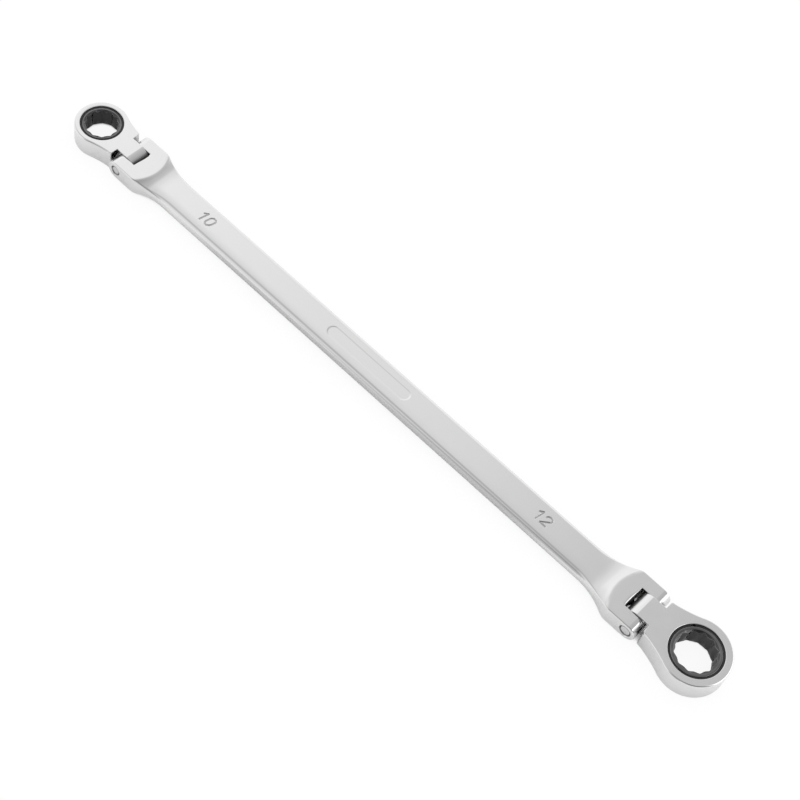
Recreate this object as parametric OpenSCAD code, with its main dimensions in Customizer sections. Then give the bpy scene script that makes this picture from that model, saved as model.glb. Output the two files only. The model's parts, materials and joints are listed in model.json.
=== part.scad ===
// Double-ended flex-head ratcheting ring wrench, 12 mm x 10 mm.
// Millimetres. Origin at the middle of the wrench, on its mid-plane.
// +X runs to the 12 mm head, +Y along the hinge pins, +Z out of the upper flat faces.
// Every piece of an end is drawn in that end's own frame, whose origin is the hinge pin
// and whose +X points at the ring, and is then placed with at_end().

/* [Wrench] */
// Overall length with both heads straight
total_length = 280; // [240:1:340]
// Width of the shank where it meets the 12 mm fork
shank_w_12 = 11.8; // [10.6:0.1:12.6]
// Width of the shank where it meets the 10 mm fork
shank_w_10 = 11.6; // [10.6:0.1:12.6]
// Thickness of the shank along its middle line
shank_t = 5; // [4.4:0.1:5.6]
// Height of the flat strip along each side of the shank
shank_edge_t = 3.5; // [2.8:0.1:4]
// Thickness of both forks
fork_t = 6.9; // [6.4:0.1:7.2]
// Radius of the hollow curve that runs from a fork in to the shank
waist_r = 32; // [24:1:44]

/* [12 mm end] */
// Width across flats of the opening, with its working clearance
af_12 = 12.1; // [12.05:0.05:12.2]
// Outer diameter of the ring head
head_d_12 = 22.8; // [22:0.1:24]
// Diameter of the round opening that shows the gear
ring_d_12 = 17.6; // [17.4:0.1:18]
// Thickness of the head
head_t_12 = 8.2; // [8:0.1:8.8]
// Distance from the hinge pin to the middle of the ring
reach_12 = 19.5; // [19:0.1:22]
// Width across both ears of the fork
fork_w_12 = 17.9; // [17:0.1:18.6]
// Width of the tang between the ears
tang_w_12 = 8.3; // [7.6:0.1:8.6]
// Distance from the hinge pin back to the floor of the fork's slot
slot_floor_12 = 4.9; // [4.5:0.1:5.2]
// Distance from the hinge pin to the head's shoulders
shoulder_12 = 4.4; // [4.2:0.1:5]
// Width of the head across its shoulders
shoulder_w_12 = 14.6; // [14:0.1:15]
// Diameter of the hinge pin
pin_d_12 = 3.6; // [3:0.1:4]

/* [10 mm end] */
// Width across flats of the opening, with its working clearance
af_10 = 10.1; // [10.05:0.05:10.2]
// Outer diameter of the ring head
head_d_10 = 18.2; // [17.8:0.1:19]
// Diameter of the round opening that shows the gear
ring_d_10 = 14.6; // [14.4:0.1:15]
// Thickness of the head
head_t_10 = 7.7; // [7.6:0.1:8]
// Distance from the hinge pin to the middle of the ring
reach_10 = 15.6; // [15.2:0.1:18]
// Width across both ears of the fork
fork_w_10 = 16.2; // [15.4:0.1:17]
// Width of the tang between the ears
tang_w_10 = 7.1; // [6.8:0.1:7.4]
// Distance from the hinge pin back to the floor of the fork's slot
slot_floor_10 = 4.1; // [4.1:0.1:4.4]
// Distance from the hinge pin to the head's shoulders
shoulder_10 = 4.1; // [3.8:0.1:4.4]
// Width of the head across its shoulders
shoulder_w_10 = 13.4; // [13:0.1:14]
// Diameter of the hinge pin
pin_d_10 = 3; // [2.6:0.1:3.2]

/* [Ratchet] */
// Number of teeth on each ratchet gear
teeth = 72; // [60:12:72]
// Height of a gear tooth
tooth_h = 0.36; // [0.3:0.01:0.4]
// How far a pawl can back away from its gear
pawl_travel = 0.6; // [0.5:0.05:0.7]
// Thickness of each retaining ring
ring_t = 0.7; // [0.5:0.05:0.8]
// Thickness of each cover washer
washer_t = 0.4; // [0.3:0.05:0.5]

/* [Friction plunger] */
// Diameter of the friction plungers
plunger_d = 2.6; // [2.2:0.1:2.8]
// Length of the friction plungers
plunger_l = 3.2; // [2.8:0.1:3.6]

/* [Hidden] */
$fn = 96;

// Clearances and fits
run = 0.05;         // radial running clearance
slot_gap = 0.05;    // gap on each side of a tang
press = 0.01;       // radial interference of a hinge pin in its ears
float_gap = 0.1;    // end float of a loose piece

// One end of the wrench as a list, read through the functions below
END_12 = [af_12, head_d_12 / 2, head_t_12, reach_12, fork_w_12, tang_w_12, shoulder_12,
          pin_d_12 / 2, shank_w_12, total_length / 2 - head_d_12 / 2 - reach_12, 1, ring_d_12 / 2,
          slot_floor_12, shoulder_w_12 / 2];
END_10 = [af_10, head_d_10 / 2, head_t_10, reach_10, fork_w_10, tang_w_10, shoulder_10,
          pin_d_10 / 2, shank_w_10, total_length / 2 - head_d_10 / 2 - reach_10, -1, ring_d_10 / 2,
          slot_floor_10, shoulder_w_10 / 2];
function af(e) = e[0];
function head_r(e) = e[1];
function head_t(e) = e[2];
function reach(e) = e[3];
function fork_w(e) = e[4];
function tang_w(e) = e[5];
function shoulder(e) = e[6];
function pin_r(e) = e[7];
function shank_w(e) = e[8];
function pin_x(e) = e[9];
function side(e) = e[10];
function bore_r(e) = e[11];
function slot_floor(e) = e[12];
function shoulder_y(e) = e[13];

// Ratchet radii, from the head's bore inwards
hub_step = 0.3;                                     // root of the teeth down to the hub
hub_inset = 0.25;                                   // head's faces to the hub's faces
root_part = 0.8;                                    // part of the pitch a tooth takes at its root
tip_part = 0.2;                                     // part of the pitch a tooth takes at its tip
pawl_gap = 0.03;                                    // pawl's teeth to the gear's
mouth_step = 0.15;                                  // opening's corners to the rim of its mouth
mouth_lead = 0.5;                                   // depth of the mouth
star_turn = 17;                                     // where the opening's corners sit at rest
function corner_r(e) = af(e) / sqrt(3);
function tip_r(e) = bore_r(e) - run;
function root_r(e) = tip_r(e) - tooth_h;
function hub_r(e) = root_r(e) - hub_step;
function lip_r(e) = hub_r(e) + run;

// Heights in a head, measured from the mid-plane
lip_t = 1.1;                                        // lower lip that carries the gear
ring_depth = 0.4;                                   // top face to retaining ring
groove = 0.45;                                      // depth of the retaining ring's groove
function lip_z(e) = -head_t(e) / 2 + lip_t;
function ring_z(e) = head_t(e) / 2 - ring_depth - ring_t;
function washer_z(e) = ring_z(e) - float_gap / 2 - washer_t;
function teeth_z0(e) = lip_z(e) + float_gap / 2;
function teeth_z1(e) = washer_z(e) - float_gap / 2;
function teeth_mid(e) = (teeth_z0(e) + teeth_z1(e)) / 2;

// Hinge sizes
neck_sag = 0.25;                                    // how hollow the sides of a neck are
function neck_join(e) = side(e) > 0 ? 28 : 19;      // ring's widest point back to where its neck joins
knuckle = 0.02;                                     // rounds at a hinge, beyond half the thickness
ear_r = fork_t / 2 + knuckle;
pin_short = 0.3;                                    // how much shorter a pin is than its fork is wide
sink = 0.3;                                         // countersink around each end of a pin
fork_back = 8.4;                                    // pin to the corner behind the fork
crest_back = 11.4;                                  // pin to the crest of the fork's curved edge
ramp_l = 6.5;                                       // length of the concave ramp below the crest
plunger_gap = 0.03;                                 // plunger's nose to the tang
function tang_r(e) = head_t(e) / 2 + knuckle;
function nose(e) = slot_floor(e) - tang_r(e) - plunger_gap;

// Pawl and spring sizes
pawl_l = 3.4;
pawl_w = 5.6;
spring_hole_r = 1.25;
spring_hole_l = 2.6;
pawl_coil = [0.95, 0.17, 6];                        // coil radius, wire radius, turns
plunger_coil = [1, 0.2, 6];
seat_gap = 0.02;                                    // each end of a spring to what it pushes on
plunger_hole_l = 7;
// Ring centre to the back wall of the pawl's pocket
function pawl_back(e) = root_r(e) + pawl_l + pawl_travel;

module at_end(e) {
    translate([side(e) * pin_x(e), 0, 0])
        rotate([0, 0, side(e) > 0 ? 0 : 180])
            children();
}

module at_ring(e) {
    translate([reach(e), 0, 0])
        children();
}

// A cylinder along +Y, centred on the origin
module cyl_y(r, l) {
    rotate([90, 0, 0])
        cylinder(r = r, h = l, center = true);
}

// End of a hinge part: a round about the pin, cut flat above and below
module knuckle_round(r, l, t) {
    intersection() {
        cyl_y(r, l);
        cube([2 * r, l, t], center = true);
    }
}

// A cylinder along -X that starts at the origin
module cyl_back(r, l) {
    rotate([0, -90, 0])
        cylinder(r = r, h = l);
}

// Coil spring of length l along -X from the origin, with one closed turn at each end
module coil_back(coil, l) {
    r = coil[0];
    wire_r = coil[1];
    turns = coil[2];
    per_turn = 18;
    sides = 8;
    steps = turns * per_turn;
    closed = 2 * wire_r + 0.02;
    open_pitch = (l - 2 * wire_r - 2 * closed) / (turns - 2);
    function rise(t) = t < 1 ? t * closed
        : t > turns - 1 ? l - 2 * wire_r - (turns - t) * closed
        : closed + (t - 1) * open_pitch;
    points = [for (i = [0 : steps], k = [0 : sides - 1])
        let (turn = 360 * i / per_turn, a = 360 * k / sides, d = r + wire_r * cos(a))
            [-(wire_r + rise(i / per_turn) + wire_r * sin(a)), d * cos(turn), d * sin(turn)]];
    tube = [for (i = [0 : steps - 1], k = [0 : sides - 1])
        let (a = i * sides + k, b = i * sides + (k + 1) % sides)
            [a, b, b + sides, a + sides]];
    first_cap = [for (k = [sides - 1 : -1 : 0]) k];
    last_cap = [for (k = [0 : sides - 1]) steps * sides + k];
    polyhedron(points, concat([first_cap], tube, [last_cap]), convexity = 10);
}

// Outline of a ratchet gear, grown by gap on its flanks, tips and roots
module teeth_2d(e, gap) {
    pitch = 360 / teeth;
    grow = gap / tip_r(e) * 180 / PI;
    root_half = pitch * root_part / 2 + grow;
    tip_half = pitch * tip_part / 2 + grow;
    polygon([for (i = [0 : teeth - 1], p = [[-root_half, root_r(e) + gap], [-tip_half, tip_r(e) + gap],
                                           [tip_half, tip_r(e) + gap], [root_half, root_r(e) + gap]])
        let (a = i * pitch + p[0])
            [p[1] * cos(a), p[1] * sin(a)]]);
}

// ---- shank ----

// Long cylinder whose skin is the crowned upper face (s = 1) or lower face (s = -1)
module crown_face(s, r) {
    translate([0, 0, s * (shank_t / 2 - r)])
        rotate([0, 90, 0])
            cylinder(r = r, h = total_length, center = true, $fn = 360);
}

// Crowned shank: two large arcs above and below, cut square along both sides
module shaft() {
    x_12 = pin_x(END_12) - crest_back;
    x_10 = -pin_x(END_10) + crest_back;
    half_w = max(shank_w_12, shank_w_10) / 2;
    sag = (shank_t - shank_edge_t) / 2;
    crown_r = (half_w * half_w + sag * sag) / (2 * sag);
    intersection() {
        crown_face(1, crown_r);
        crown_face(-1, crown_r);
        translate([0, 0, -shank_t / 2])
            linear_extrude(shank_t)
                polygon([[x_10, -shank_w_10 / 2], [x_12, -shank_w_12 / 2],
                         [x_12, shank_w_12 / 2], [x_10, shank_w_10 / 2]]);
    }
}

// Flared plan of a fork behind its pin: straight ears, then a hollow curve in to the shank
module fork_plan(e, h) {
    drop = (fork_w(e) - shank_w(e)) / 2;
    waist_l = sqrt(2 * waist_r * drop - drop * drop);
    back = fork_back + waist_l;
    difference() {
        translate([-back, -fork_w(e) / 2, -h / 2])
            cube([back, fork_w(e), h]);
        for (s = [-1, 1])
            translate([-back, s * (shank_w(e) / 2 + waist_r), -h])
                cylinder(r = waist_r, h = 2 * h, $fn = 360);
    }
}

// Round block whose rim is the fork's curved crest, with a hollow ramp down to the shank's edge
module crest(e) {
    half_w = fork_w(e) / 2;
    bow = crest_back - fork_back;
    crest_r = (half_w * half_w + bow * bow) / (2 * bow);
    drop = (fork_t - shank_edge_t) / 2;
    ramp_r = (ramp_l * ramp_l + drop * drop) / (2 * drop);
    reach_r = crest_r + ramp_l;
    translate([crest_r - crest_back, 0, 0])
        difference() {
            cylinder(r = reach_r, h = fork_t, center = true, $fn = 240);
            for (s = [0, 1])
                mirror([0, 0, s])
                    rotate_extrude($fn = 240)
                        translate([reach_r, shank_edge_t / 2 + ramp_r])
                            circle(r = ramp_r, $fn = 180);
        }
}

module fork(e) {
    intersection() {
        fork_plan(e, fork_t);
        crest(e);
    }
    fork_plan(e, shank_edge_t);
    knuckle_round(ear_r, fork_w(e), fork_t);
}

module fork_cuts(e) {
    slot_w = tang_w(e) + 2 * slot_gap;
    translate([-slot_floor(e), -slot_w / 2, -fork_t])
        cube([slot_floor(e) + 2 * ear_r, slot_w, 2 * fork_t]);
    cyl_y(pin_r(e), fork_w(e) + 2);
    for (s = [-1, 1])
        translate([0, s * fork_w(e) / 2, 0])
            rotate([s * 90, 0, 0])
                cylinder(r1 = pin_r(e) + sink, r2 = pin_r(e), h = sink);
    translate([-slot_floor(e) + slot_gap, 0, 0])
        cyl_back(plunger_d / 2 + run, plunger_hole_l + slot_gap);
}

module shank() {
    color("silver")
        difference() {
            union() {
                shaft();
                at_end(END_12)
                    fork(END_12);
                at_end(END_10)
                    fork(END_10);
            }
            at_end(END_12)
                fork_cuts(END_12);
            at_end(END_10)
                fork_cuts(END_10);
        }
}

// ---- heads ----

// Neck from the shoulders to the ring, with slightly hollow sides
module neck(e) {
    from = [shoulder(e), shoulder_y(e)];
    to = [reach(e) - head_r(e) * sin(neck_join(e)), head_r(e) * cos(neck_join(e))];
    chord = norm(to - from);
    hollow_r = (chord * chord / 4 + neck_sag * neck_sag) / (2 * neck_sag);
    across = [from[1] - to[1], to[0] - from[0]] / chord;
    centre = (from + to) / 2 + across * (hollow_r - neck_sag);
    difference() {
        translate([from[0], -head_r(e), -head_t(e) / 2])
            cube([reach(e) - from[0], 2 * head_r(e), head_t(e)]);
        for (s = [0, 1])
            mirror([0, s, 0])
                neck_side(e, from, to, centre, hollow_r);
    }
}

// What is cut away beside the neck: a large cylinder, and the corner beyond its reach
module neck_side(e, from, to, centre, hollow_r) {
    translate([centre[0], centre[1], -head_t(e)])
        cylinder(r = hollow_r, h = 2 * head_t(e), $fn = 360);
    translate([to[0], to[1], -head_t(e)])
        cube([head_r(e), head_r(e), 2 * head_t(e)]);
}

module tang(e) {
    knuckle_round(tang_r(e), tang_w(e), head_t(e));
    translate([0, -tang_w(e) / 2, -head_t(e) / 2])
        cube([shoulder(e) + 1, tang_w(e), head_t(e)]);
}

// Room for the gear, its washer, the snap ring and the pawl
module head_cuts(e) {
    at_ring(e) {
        translate([0, 0, lip_z(e)])
            cylinder(r = bore_r(e), h = head_t(e));
        translate([0, 0, -head_t(e)])
            cylinder(r = lip_r(e), h = 2 * head_t(e));
        translate([0, 0, ring_z(e)])
            cylinder(r = bore_r(e) + groove, h = ring_t + float_gap / 2);
        translate([-pawl_back(e), -pawl_w / 2 - run, teeth_z0(e) - float_gap / 2])
            cube([pawl_back(e), pawl_w + 2 * run, teeth_z1(e) - teeth_z0(e) + float_gap]);
        translate([-pawl_back(e) + 1, 0, teeth_mid(e)])
            cyl_back(spring_hole_r, spring_hole_l + 1);
    }
    cyl_y(pin_r(e) + run, 2 * tang_w(e));
}

module head(e) {
    color("silver")
        at_end(e)
            difference() {
                union() {
                    at_ring(e)
                        cylinder(r = head_r(e), h = head_t(e), center = true, $fn = 180);
                    neck(e);
                    tang(e);
                }
                head_cuts(e);
            }
}

// ---- ratchet ----

module gear(e) {
    hub_top = head_t(e) / 2 - hub_inset;
    mouth_r = corner_r(e) + mouth_step;
    color("dimgray")
        at_end(e)
            at_ring(e)
                difference() {
                    union() {
                        cylinder(r = hub_r(e), h = 2 * hub_top, center = true);
                        translate([0, 0, teeth_z0(e)])
                            linear_extrude(teeth_z1(e) - teeth_z0(e))
                                teeth_2d(e, 0);
                    }
                    for (turn = [star_turn, star_turn + 30])
                        rotate([0, 0, turn])
                            cylinder(r = corner_r(e), h = 2 * head_t(e), center = true, $fn = 6);
                    for (s = [0, 1])
                        mirror([0, 0, s])
                            translate([0, 0, hub_top - mouth_lead])
                                cylinder(r1 = mouth_r - 2 * mouth_lead, r2 = mouth_r, h = mouth_lead);
                }
}

module cover_washer(e) {
    color("gray")
        at_end(e)
            at_ring(e)
                translate([0, 0, washer_z(e)])
                    difference() {
                        cylinder(r = bore_r(e) - run, h = washer_t);
                        translate([0, 0, -1])
                            cylinder(r = lip_r(e), h = 2);
                    }
}

// Snap ring, open towards the neck's far corner
module retaining_ring(e) {
    gap = 10;
    gap_at = 135;
    color("dimgray")
        at_end(e)
            at_ring(e)
                translate([0, 0, ring_z(e)])
                    rotate([0, 0, gap_at + gap / 2])
                        rotate_extrude(angle = 360 - gap)
                            translate([lip_r(e), 0])
                                square([bore_r(e) + groove - run - lip_r(e), ring_t]);
}

module pawl(e) {
    color("gray")
        at_end(e)
            at_ring(e)
                difference() {
                    translate([-root_r(e) - pawl_l, -pawl_w / 2, teeth_z0(e)])
                        cube([pawl_l + 1, pawl_w, teeth_z1(e) - teeth_z0(e)]);
                    translate([0, 0, -head_t(e) / 2])
                        linear_extrude(head_t(e))
                            teeth_2d(e, pawl_gap);
                }
}

module pawl_spring(e) {
    color("lightgray")
        at_end(e)
            at_ring(e)
                translate([-pawl_back(e) + pawl_travel - seat_gap, 0, teeth_mid(e)])
                    coil_back(pawl_coil, spring_hole_l + pawl_travel - 2 * seat_gap);
}

// ---- hinge ----

module hinge_pin(e) {
    bevel = 0.3;
    l = fork_w(e) - pin_short;
    color("lightgray")
        at_end(e)
            union() {
                cyl_y(pin_r(e) + press, l - 2 * bevel);
                for (s = [-1, 1])
                    translate([0, s * (l / 2 - bevel), 0])
                        rotate([-s * 90, 0, 0])
                            cylinder(r1 = pin_r(e) + press, r2 = pin_r(e) - bevel, h = bevel);
            }
}

// Plunger with a bevelled nose that rubs on the tang's rounded end
module friction_plunger(e) {
    r = plunger_d / 2;
    bevel = 0.5;
    color("gray")
        at_end(e)
            translate([-slot_floor(e), 0, 0]) {
                translate([nose(e) - bevel, 0, 0])
                    rotate([0, 90, 0])
                        cylinder(r1 = r, r2 = r - bevel, h = bevel);
                translate([nose(e) - bevel, 0, 0])
                    cyl_back(r, plunger_l - bevel);
            }
}

module plunger_spring(e) {
    color("lightgray")
        at_end(e)
            translate([-slot_floor(e) + nose(e) - plunger_l - seat_gap, 0, 0])
                coil_back(plunger_coil, plunger_hole_l + nose(e) - plunger_l - 2 * seat_gap);
}

shank();
head(END_12);  // head_12
gear(END_12);  // gear_12
cover_washer(END_12);  // cover_washer_12
retaining_ring(END_12);  // retaining_ring_12
pawl(END_12);  // pawl_12
pawl_spring(END_12);  // pawl_spring_12
hinge_pin(END_12);  // hinge_pin_12
friction_plunger(END_12);  // friction_plunger_12
plunger_spring(END_12);  // plunger_spring_12
head(END_10);  // head_10
gear(END_10);  // gear_10
cover_washer(END_10);  // cover_washer_10
retaining_ring(END_10);  // retaining_ring_10
pawl(END_10);  // pawl_10
pawl_spring(END_10);  // pawl_spring_10
hinge_pin(END_10);  // hinge_pin_10
friction_plunger(END_10);  // friction_plunger_10
plunger_spring(END_10);  // plunger_spring_10
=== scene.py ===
import json
import math
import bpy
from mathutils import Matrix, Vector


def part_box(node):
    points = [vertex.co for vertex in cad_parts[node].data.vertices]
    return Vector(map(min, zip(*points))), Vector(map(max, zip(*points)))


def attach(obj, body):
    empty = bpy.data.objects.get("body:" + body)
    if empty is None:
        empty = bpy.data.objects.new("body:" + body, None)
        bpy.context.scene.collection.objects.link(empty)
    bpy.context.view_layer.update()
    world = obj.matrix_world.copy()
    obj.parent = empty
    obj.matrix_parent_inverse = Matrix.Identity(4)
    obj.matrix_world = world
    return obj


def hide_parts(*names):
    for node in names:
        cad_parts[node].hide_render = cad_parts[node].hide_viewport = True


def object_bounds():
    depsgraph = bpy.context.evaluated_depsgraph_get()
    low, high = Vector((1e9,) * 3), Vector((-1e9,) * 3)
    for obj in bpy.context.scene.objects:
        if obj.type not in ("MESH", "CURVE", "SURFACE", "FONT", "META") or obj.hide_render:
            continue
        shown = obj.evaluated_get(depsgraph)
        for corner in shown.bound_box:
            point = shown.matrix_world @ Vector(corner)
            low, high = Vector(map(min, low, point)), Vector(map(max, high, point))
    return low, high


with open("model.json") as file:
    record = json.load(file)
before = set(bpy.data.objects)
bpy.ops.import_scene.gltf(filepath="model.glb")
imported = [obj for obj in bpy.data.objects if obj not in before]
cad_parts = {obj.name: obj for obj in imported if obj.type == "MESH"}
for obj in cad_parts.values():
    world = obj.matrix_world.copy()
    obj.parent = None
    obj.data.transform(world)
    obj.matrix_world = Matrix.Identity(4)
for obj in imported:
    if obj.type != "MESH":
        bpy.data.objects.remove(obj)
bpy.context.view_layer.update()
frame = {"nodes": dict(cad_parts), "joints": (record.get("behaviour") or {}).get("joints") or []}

from types import SimpleNamespace

import bmesh
import bpy
import numpy as np
from mathutils import Matrix, Vector

# Everything below is worked out in millimetres and scaled to metres when a mesh is made.
MM = 0.001

# ---- sizes shared by both ends, millimetres ----
SHANK_T = 5.0          # shank along its middle line
EDGE_T = 3.5           # flat strip along the shank's sides
WAIST_R = 32.0         # hollow curve from a fork in to the shank
FORK_BACK = 8.4        # hinge pin to the corner behind a fork
CREST_BACK = 11.4      # hinge pin to the crest of the fork's curved edge
RAMP_L = 6.2           # hollow ramp below the crest
RAMP_POWER = 2.0       # how quickly the ramp levels out
KNUCKLE = 0.02         # rounds about the pins, beyond half the thickness
SLOT_GAP = 0.05        # tang to the slot's wall
PIN_MOUTH = 0.36       # how much wider a pin's hole is at the outside
PIN_MOUTH_AT = (0.12, 0.45)  # depths between which it narrows
PIN_SHORT = 0.3        # how much shorter a pin is than its fork is wide
PIN_ROUND = 0.36       # edges of its ends
RUN = 0.05             # running clearance
TEETH = 72             # on each ratchet gear
TOOTH_H = 0.36
TOOTH_BREAK = 0.06     # chamfer at the teeth's ends
CORNER_EASE = (0.1, 0.14)  # how much the opening's corners are cut, and how softly
RIDGE_EASE = (0.05, 0.1)   # the same for the ridges between them
MOUTH = 0.2            # how much wider the gear's opening is at its faces than across its corners
MOUTH_CONE = 1.9       # how fast it narrows from above
UNDER_MOUTH = 0.35     # the same two from below
UNDER_CONE = 1.3
HUB_STEP = 0.3         # root of the teeth down to the hub
HUB_ROUND = 0.2        # the gear's upper and lower edge
GEAR_SINK = 0.25       # head's face to the gear's face
STAR_TURN = 17         # degrees, where the opening's corners sit
LIP_T = 1.1            # lip below the gear
RING_DEPTH = 0.4       # top face to the snap ring
RING_T = 0.7
RING_GAP = 10          # degrees, opening in the snap ring
RING_GAP_AT = 135      # degrees, where that opening is
WASHER_T = 0.4
FLOAT = 0.1            # play of the gear, washer and ring along their axis
GROOVE = 0.45          # how deep the snap ring sits in the head
PAWL_L = 3.4
PAWL_TRAVEL = 0.6
PAWL_W = 5.6
SPRING_HOLE_R = 1.25   # behind the pawl
SPRING_HOLE_L = 2.6
PLUNGER_HOLE_R = 1.35  # in the fork's root
PLUNGER_HOLE_L = 7.0

# ---- roundings of the forged and polished edges, millimetres ----
FORK_ROUND = 0.35      # along the sides of the forks
SIDE_ROUND = 1.3       # along the sides of the shank, above
UNDER_ROUND = 0.8      # and below
SLOT_ROUND = 0.18      # along the sides of the slots
FLOOR_ROUND = 0.85     # along the floors of the slots
FLOOR_FADE = (1.0, 5.0)  # over which that grows from a slot's two corners
HEAD_ROUND = 0.5       # around the heads
TANG_ROUND = 0.16      # around the tangs and along the shoulders
BORE_ROUND = 0.22      # around the heads' round openings
CREST_SOFT = 0.26      # softness of the crest
RAMP_SOFT = 1.1        # softness where a ramp runs out on the shank
NECK_CORNER = 0.9      # between a head's shoulder and its flank
NECK_SAG = 0.25        # how hollow the flanks are
CROWN_POWER = 2.4      # the upper and lower faces: flat in the middle, falling towards the sides
BULGE = 0.18           # how far the forged sides stand out along their ridge
RIDGE = 0.15           # height of that ridge, a fraction of the side's half height
BULGE_ROWS = (0.7, 0.35, 0.2, 0.1, -0.1, -0.5)  # heights of the lines down a side, as such fractions
SIDE_DULL_AND_SHADE = 0.3       # how much the forged sides are dulled, and darkened with painted shade
SIDE_FADE = (24.0, 30.0)  # where that starts behind a pin, and over what length it grows
SIDE_BORDER = 0.12     # how far it reaches over the sides' edges
SLOT_PAINTED_SHADE = 0.7       # how dark the painted shade is in the slots and on the ends of the tangs in them
GRIME_AND_SHADE_TONE = 0.12      # what full grime or painted shade leaves of a metal's colour
GRIME_ROUGH = 0.45     # and what it adds to its roughness
HOLE_SHADE_FADE = 0.2       # depth over which the painted shade grows inside the pins' holes
TANG_FADE = (0.55, 0.2)  # where that painted shade starts on a tang and over what length, fractions of its end's radius


def joint(name):
    """A joint of the CAD's record."""
    return next(j for j in frame["joints"] if j["name"] == name)


def make_end(name, sign, af, head_r, bore_r, tang_w, slot_floor, shoulder, shoulder_w, shank_w, join):
    """One end of the wrench: its sizes in its own frame, pin at 0 and ring at reach.

    af is the size across the opening's flats, slot_floor and shoulder are measured from the pin, and
    join is the angle (degrees) at which a flank meets the round of the head.
    """
    pin = sign * joint(f"flex_{name}")["pos_m"][0] / MM
    ring = sign * joint(f"gear_spin_{name}")["pos_m"][0] / MM
    fork_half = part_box(f"hinge_pin_{name}")[1].y / MM + PIN_SHORT / 2
    fork_t = (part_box("shank")[1].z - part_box("shank")[0].z) / MM
    e = SimpleNamespace(
        name=name, sign=sign, pin=pin, reach=ring - pin, af=af, head_r=head_r, bore_r=bore_r,
        tang_half=tang_w / 2, slot_half=tang_w / 2 + SLOT_GAP, slot_floor=slot_floor, shoulder=shoulder,
        shoulder_half=shoulder_w / 2, shank_half=shank_w / 2, join=join, fork_half=fork_half,
        fork_t=fork_t)
    e.head_t = (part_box(f"head_{name}")[1].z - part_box(f"head_{name}")[0].z) / MM
    e.pin_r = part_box(f"hinge_pin_{name}")[1].z / MM - 0.01
    drop = fork_half - e.shank_half
    e.back = FORK_BACK + math.sqrt(2 * WAIST_R * drop - drop * drop)
    bow = CREST_BACK - FORK_BACK
    e.crest_r = (fork_half ** 2 + bow ** 2) / (2 * bow)
    e.ear_r = fork_t / 2 + KNUCKLE
    e.tang_r = e.head_t / 2 + KNUCKLE
    e.tip_r = bore_r - RUN
    e.root_r = e.tip_r - TOOTH_H
    e.hub_r = e.root_r - HUB_STEP
    e.lip_r = e.hub_r + RUN
    top = e.head_t / 2
    e.lip_z = -top + LIP_T
    e.ring_z = top - RING_DEPTH - RING_T
    e.washer_z = e.ring_z - FLOAT / 2 - WASHER_T
    e.teeth_z0 = e.lip_z + FLOAT / 2
    e.teeth_z1 = e.washer_z - FLOAT / 2
    return e


END_12 = make_end("12", sign=1, af=12.1, head_r=11.4, bore_r=8.8, tang_w=8.3, slot_floor=4.9,
                  shoulder=4.4, shoulder_w=14.6, shank_w=11.8, join=28)
END_10 = make_end("10", sign=-1, af=10.1, head_r=9.1, bore_r=7.3, tang_w=7.1, slot_floor=4.1,
                  shoulder=4.1, shoulder_w=13.4, shank_w=11.6, join=19)
ENDS = (END_10, END_12)


# ---- small maths helpers ----

def smooth_max(a, b, k):
    """The larger of a and b, blended where they differ by less than k."""
    h = np.clip(0.5 + 0.5 * (a - b) / k, 0, 1)
    return b * (1 - h) + a * h + k * h * (1 - h)


def smooth_min(a, b, k):
    """The smaller of a and b, blended in the same way."""
    return -smooth_max(-a, -b, k)


def smoothstep(t):
    """0 to 1 with soft ends."""
    t = np.clip(t, 0, 1)
    return t * t * (3 - 2 * t)


def edge_drop(dist, r):
    """How far a surface falls below its plane at dist from an edge rounded with radius r."""
    inside = np.clip(r - dist, 0, r)
    return r - np.sqrt(np.maximum(r * r - inside * inside, 0))


def edge_steps(r, n):
    """Distances from a rounded edge at which the round is sampled, evenly in angle."""
    return [r * (1 - math.cos(math.radians(90 * k / n))) for k in range(n + 1)]


def quarter(*angles):
    """How far a round of radius 1 falls short at angles from 0 to 90 degrees, along both its sides."""
    return [(1 - math.sin(math.radians(a)), 1 - math.cos(math.radians(a))) for a in angles]


ROUND_STEPS = (0, 22.5, 45, 67.5, 90)  # degrees


def on_circle(r, degrees, x=0.0, y=0.0):
    """The point at an angle on a circle about (x, y)."""
    a = math.radians(degrees)
    return (x + r * math.cos(a), y + r * math.sin(a))


def add_mesh(name, verts, faces, material, sharp=35):
    """A smooth-shaded object from millimetre points."""
    mesh = bpy.data.meshes.new(name)
    mesh.from_pydata([tuple(c * MM for c in v) for v in verts], [], faces)
    mesh.validate()
    return dress(name, mesh, material, sharp)


def put(name, data):
    """A new object in the scene."""
    obj = bpy.data.objects.new(name, data)
    bpy.context.scene.collection.objects.link(obj)
    return obj


def dress(name, mesh, material, sharp=35):
    """An object from a mesh: outward normals, smooth shading, edges over sharp degrees kept."""
    bm = bmesh.new()
    bm.from_mesh(mesh)
    bmesh.ops.recalc_face_normals(bm, faces=bm.faces)
    bm.to_mesh(mesh)
    bm.free()
    for p in mesh.polygons:
        p.use_smooth = True
    mesh.set_sharp_from_angle(angle=math.radians(sharp))
    mesh.materials.clear()
    mesh.materials.append(material)
    return put(name, mesh)


def weigh(obj):
    """Shading normals that follow the large faces."""
    mod = obj.modifiers.new("even_normals", "WEIGHTED_NORMAL")
    mod.keep_sharp = True
    mod.weight = 60
    return obj


def positions(obj):
    """x, y and z of an object's vertices, millimetres."""
    return (np.array([v.co for v in obj.data.vertices]) / MM).T


def paint_grime_and_shade(obj, amounts):
    """Stores how much each vertex is dulled and darkened, for the metals: dull stamped numbers and painted
    shade.
    """
    layer = obj.data.attributes.new("grime_and_painted_shade", "FLOAT", "POINT")
    layer.data.foreach_set("value", np.asarray(amounts, dtype=np.float32))


def place(e, points):
    """Points of an end's own frame, put in the wrench's frame."""
    s = e.sign
    return [(s * (e.pin + p[0]), s * p[1], p[2]) for p in points]


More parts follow.
